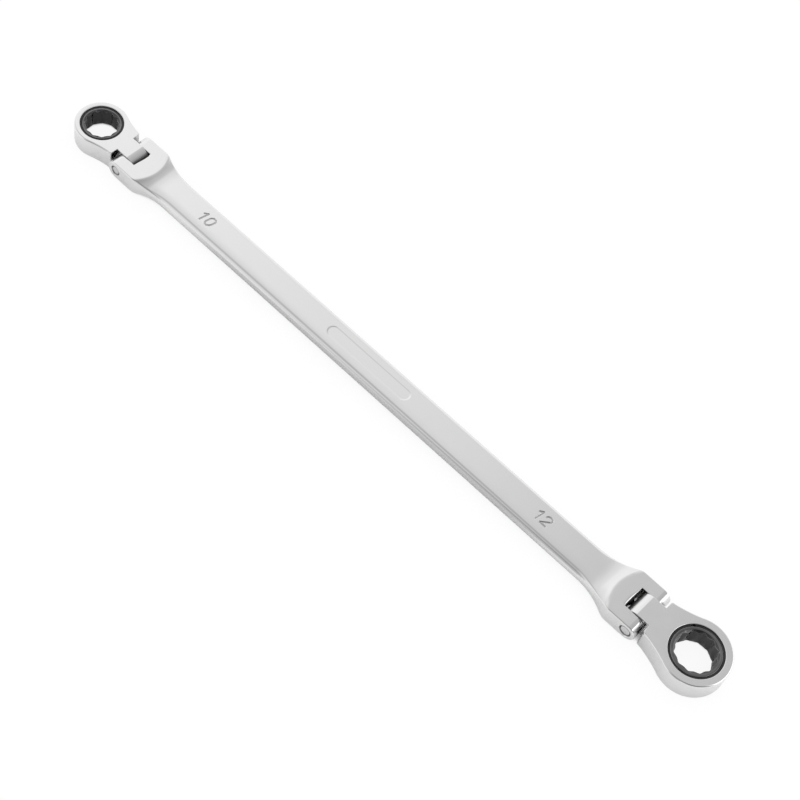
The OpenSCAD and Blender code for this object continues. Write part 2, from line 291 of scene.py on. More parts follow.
def cut(obj, cutters):
    """Subtracts closed meshes from obj and bakes the result."""
    for c in cutters:
        mod = obj.modifiers.new("cut", "BOOLEAN")
        mod.operation = "DIFFERENCE"
        mod.solver = "EXACT"
        mod.object = c
    bpy.context.view_layer.update()
    baked = bpy.data.meshes.new_from_object(obj.evaluated_get(bpy.context.evaluated_depsgraph_get()))
    old = obj.data
    obj.modifiers.clear()
    obj.data = baked
    bpy.data.meshes.remove(old)
    for c in cutters:
        bpy.data.objects.remove(c)
    return obj


def spin(e, profile, axis, centre, n=96, start=0.0, sweep=360.0, closed=False):
    """Points and faces of a profile (radius, height) turned about an axis of an end's frame."""
    whole = abs(sweep - 360) < 1e-6
    count = n if whole else n + 1
    pts = []
    for i in range(count):
        a = math.radians(start + sweep * i / n)
        for r, h in profile:
            u, v = r * math.cos(a), r * math.sin(a)
            p = {"X": (h, u, v), "Y": (u, h, v), "Z": (u, v, h)}[axis]
            pts.append(tuple(p[k] + centre[k] for k in range(3)))
    m = len(profile)
    faces = []
    for i in range(n):
        for j in range(m if closed else m - 1):
            a, b = i * m + j, i * m + (j + 1) % m
            c, d = ((i + 1) % count) * m + (j + 1) % m, ((i + 1) % count) * m + j
            faces.append((a, b, c, d))
    if not closed:
        faces.append(tuple(i * m for i in range(n)))
        faces.append(tuple(i * m + m - 1 for i in reversed(range(n))))
    elif not whole:
        faces.append(tuple(range(m)))
        faces.append(tuple(n * m + j for j in reversed(range(m))))
    return place(e, pts), faces


# ---- materials ----

CLOUDS = 160.0         # noise scales, per metre: cloudy patches
SCRATCHES = 900.0      # polishing grain
WAVES = 70.0           # unevenness of the surface
RUBBED = 0.35          # width of worn edges, millimetres
CREVICE = 1.2          # how near another surface has to be for painted shade to darken a metal's colour, millimetres


def node_maker(mat):
    """A function that adds a shader node; inputs are values or sockets."""
    nodes, links = mat.node_tree.nodes, mat.node_tree.links

    def make(kind, inputs=None, **props):
        n = nodes.new("ShaderNode" + kind)
        for k, v in props.items():
            setattr(n, k, v)
        for k, v in (inputs or {}).items():
            if isinstance(v, bpy.types.NodeSocket):
                links.new(v, n.inputs[k])
            else:
                n.inputs[k].default_value = v
        return n
    return make


def calc(make, operation, *values, **how):
    """A number worked out from others."""
    return make("Math", dict(enumerate(values)), operation=operation, **how).outputs[0]


def ranged(make, value, start, stop, low=0.0, high=1.0, **how):
    """A value brought from start..stop to low..high, and kept inside that."""
    limits = {"From Min": start, "From Max": stop, "To Min": low, "To Max": high}
    return make("MapRange", {"Value": value, **limits}, **how).outputs[0]


def blend(make, factor, a, b, **how):
    """The colour that is a at factor 0 and b at factor 1."""
    node = make("Mix", {"Factor": factor, "A": a, "B": b}, data_type="RGBA", **how)
    return node.outputs["Result"]


def metal(name, colour, rough, wear_colour, rough_swing=0.05, grain=0.05, grain_scale=(1, 1, 1),
          bump=0.003, wave=0.002, wear=0.5, dirt=0.0, ridge=0.0):
    """Plated or bare metal: cloudy roughness, polishing grain, waviness and rubbed edges, with painted
    shade in crevices and the grime and painted shade stored on a mesh.

    bump and wave are the depths of the grain and of the waves, in millimetres.
    """
    mat = bpy.data.materials.new(name)
    mat.use_nodes = True
    make = node_maker(mat)
    shader = mat.node_tree.nodes["Principled BSDF"]
    at = make("TexCoord").outputs["Object"]
    stretched = make("Mapping", {"Vector": at, "Scale": grain_scale}).outputs[0]
    cloud = make("TexNoise", {"Vector": at, "Scale": CLOUDS, "Detail": 5.0}).outputs["Fac"]
    fine = make("TexNoise", {"Vector": stretched, "Scale": SCRATCHES, "Detail": 3.0}).outputs["Fac"]
    slow = make("TexNoise", {"Vector": at, "Scale": WAVES, "Detail": 1.0}).outputs["Fac"]
    rounded = make("Bevel", {"Radius": RUBBED * MM}, samples=4).outputs[0]
    true_n = make("NewGeometry").outputs["Normal"]
    same = make("VectorMath", {0: rounded, 1: true_n}, operation="DOT_PRODUCT").outputs["Value"]
    edge = ranged(make, same, 0.995, 0.9, 0.0, wear)
    speck = ranged(make, cloud, 0.42, 0.62, 0.35, 1.0)
    worn = calc(make, "MULTIPLY", edge, speck)
    if ridge:
        bent = make("NewGeometry").outputs["Pointiness"]
        proud = ranged(make, bent, 0.49, 0.53, -ridge, ridge)
        worn = calc(make, "ADD", worn, proud, use_clamp=True)
    shade = ranged(make, cloud, 0.3, 0.7, 1.0 - dirt, 1.0)
    tone = blend(make, worn, (*colour, 1), (*wear_colour, 1))
    # painted shade: the colour darkens where other surfaces are near, in crevices and gaps
    open_air = make("AmbientOcclusion", {"Distance": CREVICE * MM}, samples=4).outputs["AO"]
    painted_crevice_shade = ranged(make, open_air, 0.05, 0.4, 0.6, 1.0)
    shade = calc(make, "MULTIPLY", shade, painted_crevice_shade)
    # grime and painted shade stored on the mesh: a darker colour and more roughness
    grime_and_painted_shade = make("Attribute", attribute_name="grime_and_painted_shade").outputs["Fac"]
    grime_and_shade_darkening = ranged(make, grime_and_painted_shade, 0.0, 1.0, 1.0, GRIME_AND_SHADE_TONE)
    shade = calc(make, "MULTIPLY", shade, grime_and_shade_darkening)
    grey = make("CombineColor", {"Red": shade, "Green": shade, "Blue": shade}).outputs[0]
    links = mat.node_tree.links
    links.new(blend(make, 1.0, tone, grey, blend_type="MULTIPLY"), shader.inputs["Base Color"])
    fine_rough = ranged(make, fine, 0.3, 0.7, -grain, grain)
    cloud_rough = ranged(make, cloud, 0.3, 0.7, rough - rough_swing, rough + rough_swing)
    total = calc(make, "ADD", fine_rough, cloud_rough)
    dull = calc(make, "MULTIPLY_ADD", grime_and_painted_shade, GRIME_ROUGH, total)
    links.new(dull, shader.inputs["Roughness"])
    shader.inputs["Metallic"].default_value = 1.0
    uneven = make("Bump", {"Height": slow, "Strength": 1.0, "Distance": wave * MM}).outputs[0]
    deep = {"Strength": 1.0, "Distance": bump * MM, "Normal": uneven}
    links.new(make("Bump", {"Height": fine, **deep}).outputs[0], shader.inputs["Normal"])
    return mat


CHROME = metal("chrome_plate", (0.70, 0.70, 0.70), 0.13, (0.8, 0.8, 0.8), rough_swing=0.035, grain=0.02,
               grain_scale=(0.25, 1, 1), bump=0.0006, wave=0.006, wear=0.6)
OXIDE = metal("black_oxide", (0.1, 0.1, 0.103), 0.17, (0.36, 0.36, 0.37), grain_scale=(1, 1, 0.3),
              dirt=0.35, ridge=0.3)
CLIP = metal("clip_steel", (0.05, 0.05, 0.052), 0.4, (0.25, 0.25, 0.26), rough_swing=0.06, dirt=0.3)
GROUND = metal("ground_steel", (0.42, 0.42, 0.42), 0.3, (0.6, 0.6, 0.6), grain=0.08,
               grain_scale=(1, 0.12, 1), dirt=0.25)
PEENED = metal("peened_steel", (0.66, 0.66, 0.66), 0.24, (0.7, 0.7, 0.7), bump=0.004, wave=0.004,
               wear=0.4, dirt=0.15)
WIRE = metal("spring_wire", (0.5, 0.5, 0.49), 0.26, (0.6, 0.6, 0.6), rough_swing=0.06, grain=0.06,
             bump=0.002, wear=0.3, dirt=0.25)


# ---- shank ----

CROWN_SAG = (SHANK_T - EDGE_T) / 2
SLICE_FORK = 0.6       # distances between the slices along the shank: on the forks
SLICE_CREST = 0.07     # at their crests
SLICE_RAMP = 0.25      # on the ramps below
SLICE_WAIST = 0.8      # where the shank narrows
SLICE_MARK = 0.09      # under the size numbers
SLICE_PANEL = 0.16     # under the panel's round ends
SLICE_PLAIN = 2.5      # elsewhere
PLAIN_BACK = 33        # hinge pin to the first of those
PANEL_X = (-24.0, 11.5)     # ends of the plain pressed panel on the upper face
PANEL_HALF = 2.3
PANEL_DEPTH = 0.13
PANEL_SOFT = 0.45      # width of the panel's sloping border
DIGIT_H = 3.6          # the stamped size numbers
DIGIT_W = 2.25
DIGIT_GAP = 0.95
DIGIT_LEAN = math.tan(math.radians(11))
DIGIT_STROKE = 0.5
DIGIT_SOFT = 0.2       # width of a stroke's sloping border
DIGIT_DEPTH = 0.2
DIGIT_GRIME = 0.42
MARKS = {"10": -80.0, "12": 68.0}  # number and the x of its middle


def arc(cx, cy, rx, ry, a0, a1, n=10):
    """Points of an elliptical arc from a0 to a1 degrees."""
    turns = [math.radians(a0 + (a1 - a0) * i / n) for i in range(n + 1)]
    return [(cx + rx * math.cos(a), cy + ry * math.sin(a)) for a in turns]


def digit_strokes(d):
    """Strokes of a digit in a box DIGIT_W by DIGIT_H with its lower left corner at the origin."""
    w, h = DIGIT_W, DIGIT_H
    if d == "1":
        return [[(w * 0.62, 0), (w * 0.62, h)], [(w * 0.62, h), (w * 0.15, h * 0.76)]]
    if d == "0":
        return [arc(w / 2, h * 0.7, w / 2, h * 0.3, 0, 180) + arc(w / 2, h * 0.3, w / 2, h * 0.3, 180, 360)
                + [(w, h * 0.7)]]
    return [arc(w / 2, h * 0.72, w / 2, h * 0.28, 165, -35) + [(0, 0), (w, 0)]]


def mark_strokes():
    """Strokes of both size numbers, leaning, centred on the shank's middle line."""
    out = []
    for text, middle in MARKS.items():
        x = middle - (2 * DIGIT_W + DIGIT_GAP) / 2
        for d in text:
            for stroke in digit_strokes(d):
                raised = [(px, py - DIGIT_H / 2) for px, py in stroke]
                out.append([(x + px + DIGIT_LEAN * py, py) for px, py in raised])
            x += DIGIT_W + DIGIT_GAP
    return out


STROKES = mark_strokes()


def mark_depth(x, y):
    """Depth of the stamped size numbers at (x, y)."""
    best = np.full(np.shape(x), DIGIT_H)
    for stroke in STROKES:
        for (ax, ay), (bx, by) in zip(stroke, stroke[1:]):
            dx, dy = bx - ax, by - ay
            t = np.clip(((x - ax) * dx + (y - ay) * dy) / (dx * dx + dy * dy), 0, 1)
            best = np.minimum(best, np.hypot(x - ax - t * dx, y - ay - t * dy))
    return DIGIT_DEPTH * smoothstep((DIGIT_STROKE / 2 + DIGIT_SOFT / 2 - best) / DIGIT_SOFT)


def panel_depth(x, y):
    """Depth of the round-ended panel at (x, y)."""
    lo, hi = PANEL_X
    along = np.clip(x, lo + PANEL_HALF, hi - PANEL_HALF)
    d = PANEL_HALF - np.hypot(x - along, y)
    return PANEL_DEPTH * smoothstep(d / PANEL_SOFT)


def half_width(x):
    """Half the width of the shank and forks, without the bulge of the sides."""
    lo, hi = -END_10.pin + CREST_BACK, END_12.pin - CREST_BACK
    t = np.clip((x - lo) / (hi - lo), 0, 1)
    wide = END_10.shank_half * (1 - t) + END_12.shank_half * t
    for e in ENDS:
        local = e.sign * x - e.pin
        run = np.clip(local + e.back, 0, WAIST_R * 0.9)
        grown = wide + WAIST_R - np.sqrt(WAIST_R ** 2 - run * run)
        wide = np.where(e.sign * x > 0, smooth_min(grown, e.fork_half, 0.5), wide)
    return wide


def side_round(x):
    """Radius of the upper edge along the sides."""
    behind = np.minimum(END_12.pin - x, x + END_10.pin)
    return FORK_ROUND + (SIDE_ROUND - FORK_ROUND) * smoothstep((behind - CREST_BACK) / 12)


def skin(x, y):
    """Height of the shank's upper face before its edges are rounded."""
    z = SHANK_T / 2 - CROWN_SAG * np.minimum(np.abs(y) / half_width(x), 1) ** CROWN_POWER
    for e in ENDS:
        local = e.sign * x - e.pin
        d = np.hypot(local - (e.crest_r - CREST_BACK), y)
        rise = np.clip((e.crest_r + RAMP_L - d) / RAMP_L, 0, 1.5)
        ramp = EDGE_T / 2 + (e.fork_t - EDGE_T) / 2 * rise ** RAMP_POWER
        ramp = smooth_min(ramp, e.fork_t / 2, CREST_SOFT)
        z = np.where(e.sign * x > 0, smooth_max(z, ramp, RAMP_SOFT), z)
        z = np.where(local > -FORK_BACK + 1, e.fork_t / 2, z)
    return z


def slot_drop(x, y):
    """How far the skin falls to the rounded rim of a slot."""
    out = np.zeros(np.shape(x))
    for e in ENDS:
        local = e.sign * x - e.pin
        beside = np.maximum(np.abs(y) - e.slot_half, 0)
        behind = np.maximum(-e.slot_floor - local, 0)
        across = e.sign * y
        inner = smoothstep((e.slot_half + across) / FLOOR_FADE[0])
        inner = inner * smoothstep((e.slot_half - across) / FLOOR_FADE[1])
        r = SLOT_ROUND + (FLOOR_ROUND - SLOT_ROUND) * inner
        out = np.maximum(out, edge_drop(np.hypot(beside, behind), r))
    return out


def slot_half(x):
    """Half the distance between the two lines that become a slot's walls at the ends."""
    t = smoothstep((x + END_10.pin - 20) / (END_10.pin + END_12.pin - 40))
    return END_10.slot_half * (1 - t) + END_12.slot_half * t


def side_bulge(x):
    """How far a side stands out at x; nothing on the forks."""
    e = END_12 if x > 0 else END_10
    return BULGE * float(smoothstep((-FORK_BACK - 1 - (e.sign * x - e.pin)) / 8))


def shank_stations():
    """Places along the shank where it is sliced: (x, turn of the ear's front in degrees)."""
    brink = math.degrees(math.acos(END_12.fork_t / 2 / END_12.ear_r))
    fronts = [90 - k * (90 - brink - 1.5) / 12 for k in range(13)] + [brink]
    xs = []
    for e in ENDS:
        floor, foot = -e.slot_floor, -CREST_BACK - RAMP_L
        s = [-0.9, -2.2, -3.4, floor + 0.35]
        s += [floor - d for d in edge_steps(SLOT_ROUND, 3) + edge_steps(FLOOR_ROUND, 8)[1:]]
        s += list(np.arange(floor - 1.3, -CREST_BACK + 0.5, -SLICE_FORK))
        s += [-CREST_BACK + k * SLICE_CREST for k in range(5, -6, -1)]
        s += list(np.arange(-CREST_BACK - 0.55, foot - 2.5, -SLICE_RAMP))
        s += list(np.arange(foot - 2.8, 1 - PLAIN_BACK, -SLICE_WAIST))
        xs += [e.sign * (e.pin + v) for v in s]
    reach = DIGIT_W + DIGIT_GAP / 2 + 0.9
    for middle in MARKS.values():
        xs += list(np.arange(middle - reach, middle + reach, SLICE_MARK))
    lo, hi = PANEL_X
    xs += list(np.arange(lo - 0.3, lo + PANEL_HALF + 0.3, SLICE_PANEL))
    xs += list(np.arange(hi - PANEL_HALF - 0.3, hi + 0.5, SLICE_PANEL))
    xs += list(np.arange(-END_10.pin + PLAIN_BACK, END_12.pin - PLAIN_BACK, SLICE_PLAIN))
    xs.sort()
    kept = [xs[0]]
    for v in xs[1:]:
        if v - kept[-1] > 0.02:
            kept.append(v)
    assert all(e.sign * (e.pin - e.slot_floor) in kept for e in ENDS)
    ends = [(kept[0], f) for f in fronts]
    return ends + [(v, 0.0) for v in kept] + [(kept[-1], f) for f in reversed(fronts)]


def line_rows(stations, middle):
    """y of every lengthwise line at every station; middle are fractions between the slot's lines."""
    x = np.array([s[0] for s in stations])
    hw, sh, soft = half_width(x), slot_half(x), side_round(x)
    outer = [d / SIDE_ROUND for d in edge_steps(SIDE_ROUND, 9)[1:]]
    inner = edge_steps(SLOT_ROUND, 5)
    rows = [(-hw + d * soft, False) for d in outer]
    a, b = -hw + soft, -sh - SLOT_ROUND
    rows += [(a + (b - a) * t, False) for t in (0.25, 0.5, 0.75)]
    rows += [(-sh - d, False) for d in reversed(inner)]
    left = len(rows)
    rows += [(sh * m, True) for m in middle]
    rows += [(-rows[k][0], False) for k in reversed(range(left))]
    return rows, left


def shank_sheet(stations, middle, top):
    """Vertices of the upper (top) or lower face as rows[line][station] = point or None."""
    rows, left = line_rows(stations, middle)
    x0 = np.array([s[0] for s in stations])
    turn = np.radians([s[1] for s in stations])
    lead = np.sign(x0)
    points = []
    for y, is_middle in rows:
        shift = np.zeros_like(x0)
        for e in ENDS:
            local = e.sign * x0 - e.pin
            grip = smoothstep((-e.slot_floor - 1.0 - local) / (CREST_BACK - e.slot_floor - 1.4))
            grip = grip * smoothstep((local + 31) / 12)
            bow = e.crest_r - np.sqrt(e.crest_r ** 2 - y * y)
            shift += np.where(e.sign * x0 > 0, e.sign * bow * grip, 0)
        x = x0 + shift
        scale = half_width(x) / half_width(x0)
        y = y * np.where(np.abs(y) > slot_half(x0) + SLOT_ROUND, scale, 1)
        soft = side_round(x) if top else np.minimum(side_round(x), UNDER_ROUND)
        drop = edge_drop(half_width(x) - np.abs(y), soft) + slot_drop(x, y)
        z = skin(x, y)
        if top:
            z = z - mark_depth(x, y) - panel_depth(x, y)
        z = z - drop
        front_r = END_12.ear_r - drop
        pins = np.where(lead > 0, END_12.pin, -END_10.pin)
        px = np.where(turn > 0, pins + lead * front_r * np.sin(turn), x)
        pz = np.where(turn > 0, front_r * np.cos(turn), z)
        in_slot = np.zeros_like(x0, bool)
        for e in ENDS:
            in_slot |= e.sign * x0 - e.pin > -e.slot_floor + 0.01
        in_slot |= turn > 0
        points.append([None if is_middle and in_slot[i] else (px[i], y[i], pz[i] if top else -pz[i])
                       for i in range(len(stations))])
    return points, left


def shank_mesh():
    """The shank and its forks, sliced along x: two faces, two sides and the slots' walls."""
    stations = shank_stations()
    dense = [k * 0.1 / 4 for k in range(-21, 22)]
    dense += [s * v for s in (-1, 1) for v in (0.6, 0.68, 0.76, 0.88)]
    dense.sort()
    upper, left = shank_sheet(stations, dense, True)
    lower, _ = shank_sheet(stations, [k / 5 for k in range(-4, 5)], False)
    verts, ids, sides = [], {}, []

    # the two sides, between the outermost lines of both faces
    for side in (0, -1):
        lines = []
        for f in BULGE_ROWS:
            row = []
            for i, (x, y, z) in enumerate(upper[side]):
                low = lower[side][i][2]
                off = (f - RIDGE) / (1 - math.copysign(RIDGE, f - RIDGE))
                out = math.copysign(side_bulge(stations[i][0]) * (1 - math.hypot(off, 0.04)), y)
                row.append((x, y + out, (z + low) / 2 + f * (z - low) / 2))
            lines.append(row)
        sides.append(lines)

    def vid(sheet, line, i):
        if sheet > 1 and i in (0, len(stations) - 1):
            return vid(0, (0, len(upper) - 1)[sheet - 2], i)
        p = (upper, lower, *sides)[sheet][line][i]
        if p is None:
            return None
        if (i == 0 or i == len(stations) - 1) and sheet:
            return vid(0, line if line < left else line + len(upper) - len(lower), i)
        key = (sheet, line, i)
        if key not in ids:
            ids[key] = len(verts)
            verts.append(p)
        return ids[key]

    faces = []

    def quad(*corners):
        ring = []
        for c in corners:
            if c is None:
                return
            if c not in ring:
                ring.append(c)
        if len(ring) > 2:
            faces.append(tuple(ring))

    n_up, n_low = len(upper), len(lower)
    last = len(stations) - 1
    for i in range(last):
        for sheet, count in ((0, n_up), (1, n_low)):
            for j in range(count - 1):
                in_gap = left - 1 <= j < count - left
                if in_gap and (vid(sheet, left, i) is None or vid(sheet, left, i + 1) is None):
                    continue
                square = ((j, i), (j + 1, i), (j + 1, i + 1), (j, i + 1))
                quad(*(vid(sheet, line, at) for line, at in square))
        for sheet, line_up, line_low in ((2, 0, 0), (3, n_up - 1, n_low - 1)):
            column = [(0, line_up)] + [(sheet, k) for k in range(len(BULGE_ROWS))] + [(1, line_low)]
            for (sa, la), (sb, lb) in zip(column, column[1:]):
                quad(vid(sa, la, i), vid(sa, la, i + 1), vid(sb, lb, i + 1), vid(sb, lb, i))
        if vid(0, left, i) is None or vid(0, left, i + 1) is None:
            for a, b in ((left - 1, left - 1), (n_up - left, n_low - left)):
                quad(vid(0, a, i), vid(0, a, i + 1), vid(1, b, i + 1), vid(1, b, i))
    for i in range(1, last):
        here = vid(0, left, i) is not None
        if here and (vid(0, left, i - 1) is None or vid(0, left, i + 1) is None):
            ring = [vid(0, j, i) for j in range(left - 1, n_up - left + 1)]
            ring += [vid(1, j, i) for j in reversed(range(left - 1, n_low - left + 1))]
            faces.append(tuple(ring))
    return verts, faces


def pin_cutter(e):
    """Hole for the hinge pin, with a wider mouth at both ends."""
    w, r = e.fork_half, e.pin_r + 0.01
    wide = r + PIN_MOUTH
    rim, sink = PIN_MOUTH_AT
    profile = [(0.001, -w - 1), (wide, -w - 1), (wide, -w + rim), (r, -w + sink), (r, w - sink),
               (wide, w - rim), (wide, w + 1), (0.001, w + 1)]
    verts, faces = spin(e, profile, "Y", (0, 0, 0), n=64)
    return add_mesh("pin_cutter", verts, faces, CHROME)


def plunger_cutter(e):
    """Hole for the friction plunger and its spring, from the slot's floor."""
    r = PLUNGER_HOLE_R
    x0, x1 = -e.slot_floor + 0.5, -e.slot_floor - PLUNGER_HOLE_L
    profile = [(0.001, x1), (r, x1), (r, x0), (0.001, x0)]
    verts, faces = spin(e, profile, "X", (0, 0, 0), n=48)
    return add_mesh("plunger_cutter", verts, faces, CHROME)


def build_shank():
    """The chrome shank with its holes, its dull stamped numbers and painted shade in its holes, slots and
    along its sides.
    """
    verts, faces = shank_mesh()
    shank = add_mesh("shank_body", verts, faces, CHROME)
    cut(shank, [pin_cutter(e) for e in ENDS] + [plunger_cutter(e) for e in ENDS])
    x, y, z = positions(shank)
    grime_and_painted_shade = np.where(z > 0, mark_depth(x, y) / DIGIT_DEPTH * DIGIT_GRIME, 0)
    for e in ENDS:
        # painted shade inside the pin holes, growing darker deeper in
        near = np.hypot(x - e.sign * e.pin, z) < e.pin_r + PIN_MOUTH + 0.05
        grime_and_painted_shade = np.where(near, np.clip((e.fork_half - np.abs(y)) / HOLE_SHADE_FADE, 0, 1), grime_and_painted_shade)
        # painted shade deep in the slot, between the fork and the tang
        behind = e.pin - e.sign * x
        in_slot = (behind < e.slot_floor + 0.03) & (np.abs(y) < e.slot_half + 0.03)
        deep = np.abs(z) < e.fork_t / 2 - SLOT_ROUND - 0.01
        grime_and_painted_shade = np.where(in_slot & deep, SLOT_PAINTED_SHADE, grime_and_painted_shade)
        # painted shade along the forged sides, which are also made rougher
        beside = np.clip(1 + (np.abs(y) - half_width(x)) / SIDE_BORDER, 0, 1)
        dull = SIDE_DULL_AND_SHADE * beside * smoothstep((behind - SIDE_FADE[0]) / SIDE_FADE[1])
        grime_and_painted_shade = np.where(e.sign * x > 0, np.maximum(grime_and_painted_shade, dull), grime_and_painted_shade)
    paint_grime_and_shade(shank, grime_and_painted_shade)
    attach(weigh(shank), "shank")
    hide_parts("shank")


# ---- heads ----

def head_outline(e):
    """Upper half of the outline, from the tang at the pin round to the ring's far end."""
    reach, r = e.reach, e.head_r
    a, b = e.shoulder, e.shoulder_half
    corner = NECK_CORNER
    end = (reach - r * math.sin(math.radians(e.join)), r * math.cos(math.radians(e.join)))
    chord = math.hypot(end[0] - a, end[1] - b)
    across = ((b - end[1]) / chord, (end[0] - a) / chord)
    lean = math.degrees(math.atan2(end[1] - b, end[0] - a))
    flat = math.sqrt(e.tang_r ** 2 - (e.head_t / 2) ** 2)
    pts = [(-flat, e.tang_half), (a, e.tang_half)]
    pts += [(a, e.tang_half + (b - corner - e.tang_half) * t) for t in (0.5, 1.0)]
    turn = 90 - lean
    start = (a + corner, b - corner)
    pts += [on_circle(corner, t, *start) for t in np.linspace(180, 180 - turn, 9)[1:]]
    p0 = pts[-1]
    for t in np.linspace(0, 1, 14)[1:-1]:
        dip = 4 * NECK_SAG * t * (1 - t)
        pts.append((p0[0] + (end[0] - p0[0]) * t - across[0] * dip,
                    p0[1] + (end[1] - p0[1]) * t - across[1] * dip))
    a0 = 90 + e.join
    pts += [on_circle(r, t, reach) for t in np.linspace(a0, 0, 60)]
    grow = smoothstep((np.array([p[0] for p in pts]) - a) / corner)
    return pts, list(TANG_ROUND + (HEAD_ROUND - TANG_ROUND) * grow)


def inset(points, distances):
    """An open outline moved inwards; its first and last points slide along x = constant."""
    out = []
    n = len(points)
    for i, p in enumerate(points):
        q0, q1 = points[max(i - 1, 0)], points[min(i + 1, n - 1)]
        v0 = np.array(p) - q0 if i else np.array(q1) - p
        v1 = np.array(q1) - p if i < n - 1 else np.array(p) - q0
        n0 = np.array((v0[1], -v0[0])) / np.hypot(*v0)
        n1 = np.array((v1[1], -v1[0])) / np.hypot(*v1)
        m = n0 + n1
        m = m / np.dot(m, m) * 2
        out.append((p[0] + m[0] * distances[i], p[1] + m[1] * distances[i]))
    return out


def head_mesh(e):
    """A head without its flat faces, which fill_flat adds between the loops that are returned."""
    top = e.head_t / 2
    upper_half, half_rounds = head_outline(e)
    outline = upper_half + [(x, -y) for x, y in reversed(upper_half[:-1])]
    rounds = half_rounds + half_rounds[-2::-1]
    steps = 6
    rows = []
    for k in range(steps + 1):
        a = math.radians(90 * k / steps)
        rows.append((inset(outline, [r * (1 - math.cos(a)) for r in rounds]),
                     [top - r * (1 - math.sin(a)) for r in rounds]))
    verts, faces = [], []
    n = len(outline)

    def add(points):
        first = len(verts)
        verts.extend(points)
        return list(range(first, first + len(points)))

    up = [add([(x, y, z) for (x, y), z in zip(pts, zs)]) for pts, zs in rows]
    down = [add([(x, y, -z) for (x, y), z in zip(pts, zs)]) for pts, zs in rows]
    for sheet in (up, down):
        for k in range(steps):
            for i in range(n - 1):
                faces.append((sheet[k][i], sheet[k][i + 1], sheet[k + 1][i + 1], sheet[k + 1][i]))
    for i in range(n - 1):
        faces.append((up[0][i], up[0][i + 1], down[0][i + 1], down[0][i]))
    # rounded end of the tang, turned about the pin
    section = [(p[0][1], e.tang_r - top + zs[0]) for p, zs in rows]
    section += [(p[-1][1], e.tang_r - top + zs[-1]) for p, zs in reversed(rows)]
    first_ids = [up[k][0] for k in range(steps + 1)] + [up[k][-1] for k in reversed(range(steps + 1))]
    last_ids = [down[k][0] for k in range(steps + 1)] + [down[k][-1] for k in reversed(range(steps + 1))]
    brink = math.degrees(math.acos(top / e.tang_r)) + 1.5
    belts = [first_ids]
    for a in np.radians(np.linspace(brink, 180 - brink, 25)):
        belts.append(add([(-r * math.sin(a), y, r * math.cos(a)) for y, r in section]))
    belts.append(last_ids)
    for b0, b1 in zip(belts, belts[1:]):
        for j in range(len(section) - 1):
            faces.append((b0[j], b0[j + 1], b1[j + 1], b1[j]))
    faces.append(tuple(b[0] for b in belts))
    faces.append(tuple(b[-1] for b in belts))
    # bore with its snap ring groove and the lip below, turned about the ring's axis
    bore, lip, q = e.bore_r, e.lip_r, BORE_ROUND
    groove_top = e.ring_z + RING_T + FLOAT / 2
    profile = [(bore + q * s, top - q * c) for s, c in quarter(*ROUND_STEPS)]
    profile += [(bore, groove_top), (bore + GROOVE, groove_top), (bore + GROOVE, e.ring_z),
                (bore, e.ring_z), (bore, e.lip_z), (lip, e.lip_z)]
    profile += [(lip + q * c, -top + q * s) for s, c in quarter(*ROUND_STEPS)]
    around = 144
    rings = []
    for r, z in profile:
        rings.append(add([(e.reach + r * math.cos(2 * math.pi * i / around),
                           r * math.sin(2 * math.pi * i / around), z) for i in range(around)]))
    for a, b in zip(rings, rings[1:]):
        for i in range(around):
            faces.append((a[i], a[(i + 1) % around], b[(i + 1) % around], b[i]))
    return verts, faces, up[-1], down[-1], rings[0], rings[-1]


def fill_flat(bm, loop, hole):
    """Fills a flat face between an open outline, closed across the tang, and a round hole."""
    bm.verts.ensure_lookup_table()
    edges = []
    for chain in (loop, hole):
        n = len(chain)
        for i in range(n):
            pair = (bm.verts[chain[i]], bm.verts[chain[(i + 1) % n]])
            edges.append(bm.edges.get(pair) or bm.edges.new(pair))
    bmesh.ops.triangle_fill(bm, use_beauty=True, use_dissolve=False, edges=edges)


def box_cutter(e, lo, hi):
    """A box between two corners, given in an end's frame."""
    corners = [(x, y, z) for x in (lo[0], hi[0]) for y in (lo[1], hi[1]) for z in (lo[2], hi[2])]
    faces = [(0, 1, 3, 2), (4, 6, 7, 5), (0, 4, 5, 1), (2, 3, 7, 6), (0, 2, 6, 4), (1, 5, 7, 3)]
    return add_mesh("box_cutter", place(e, corners), faces, CHROME)


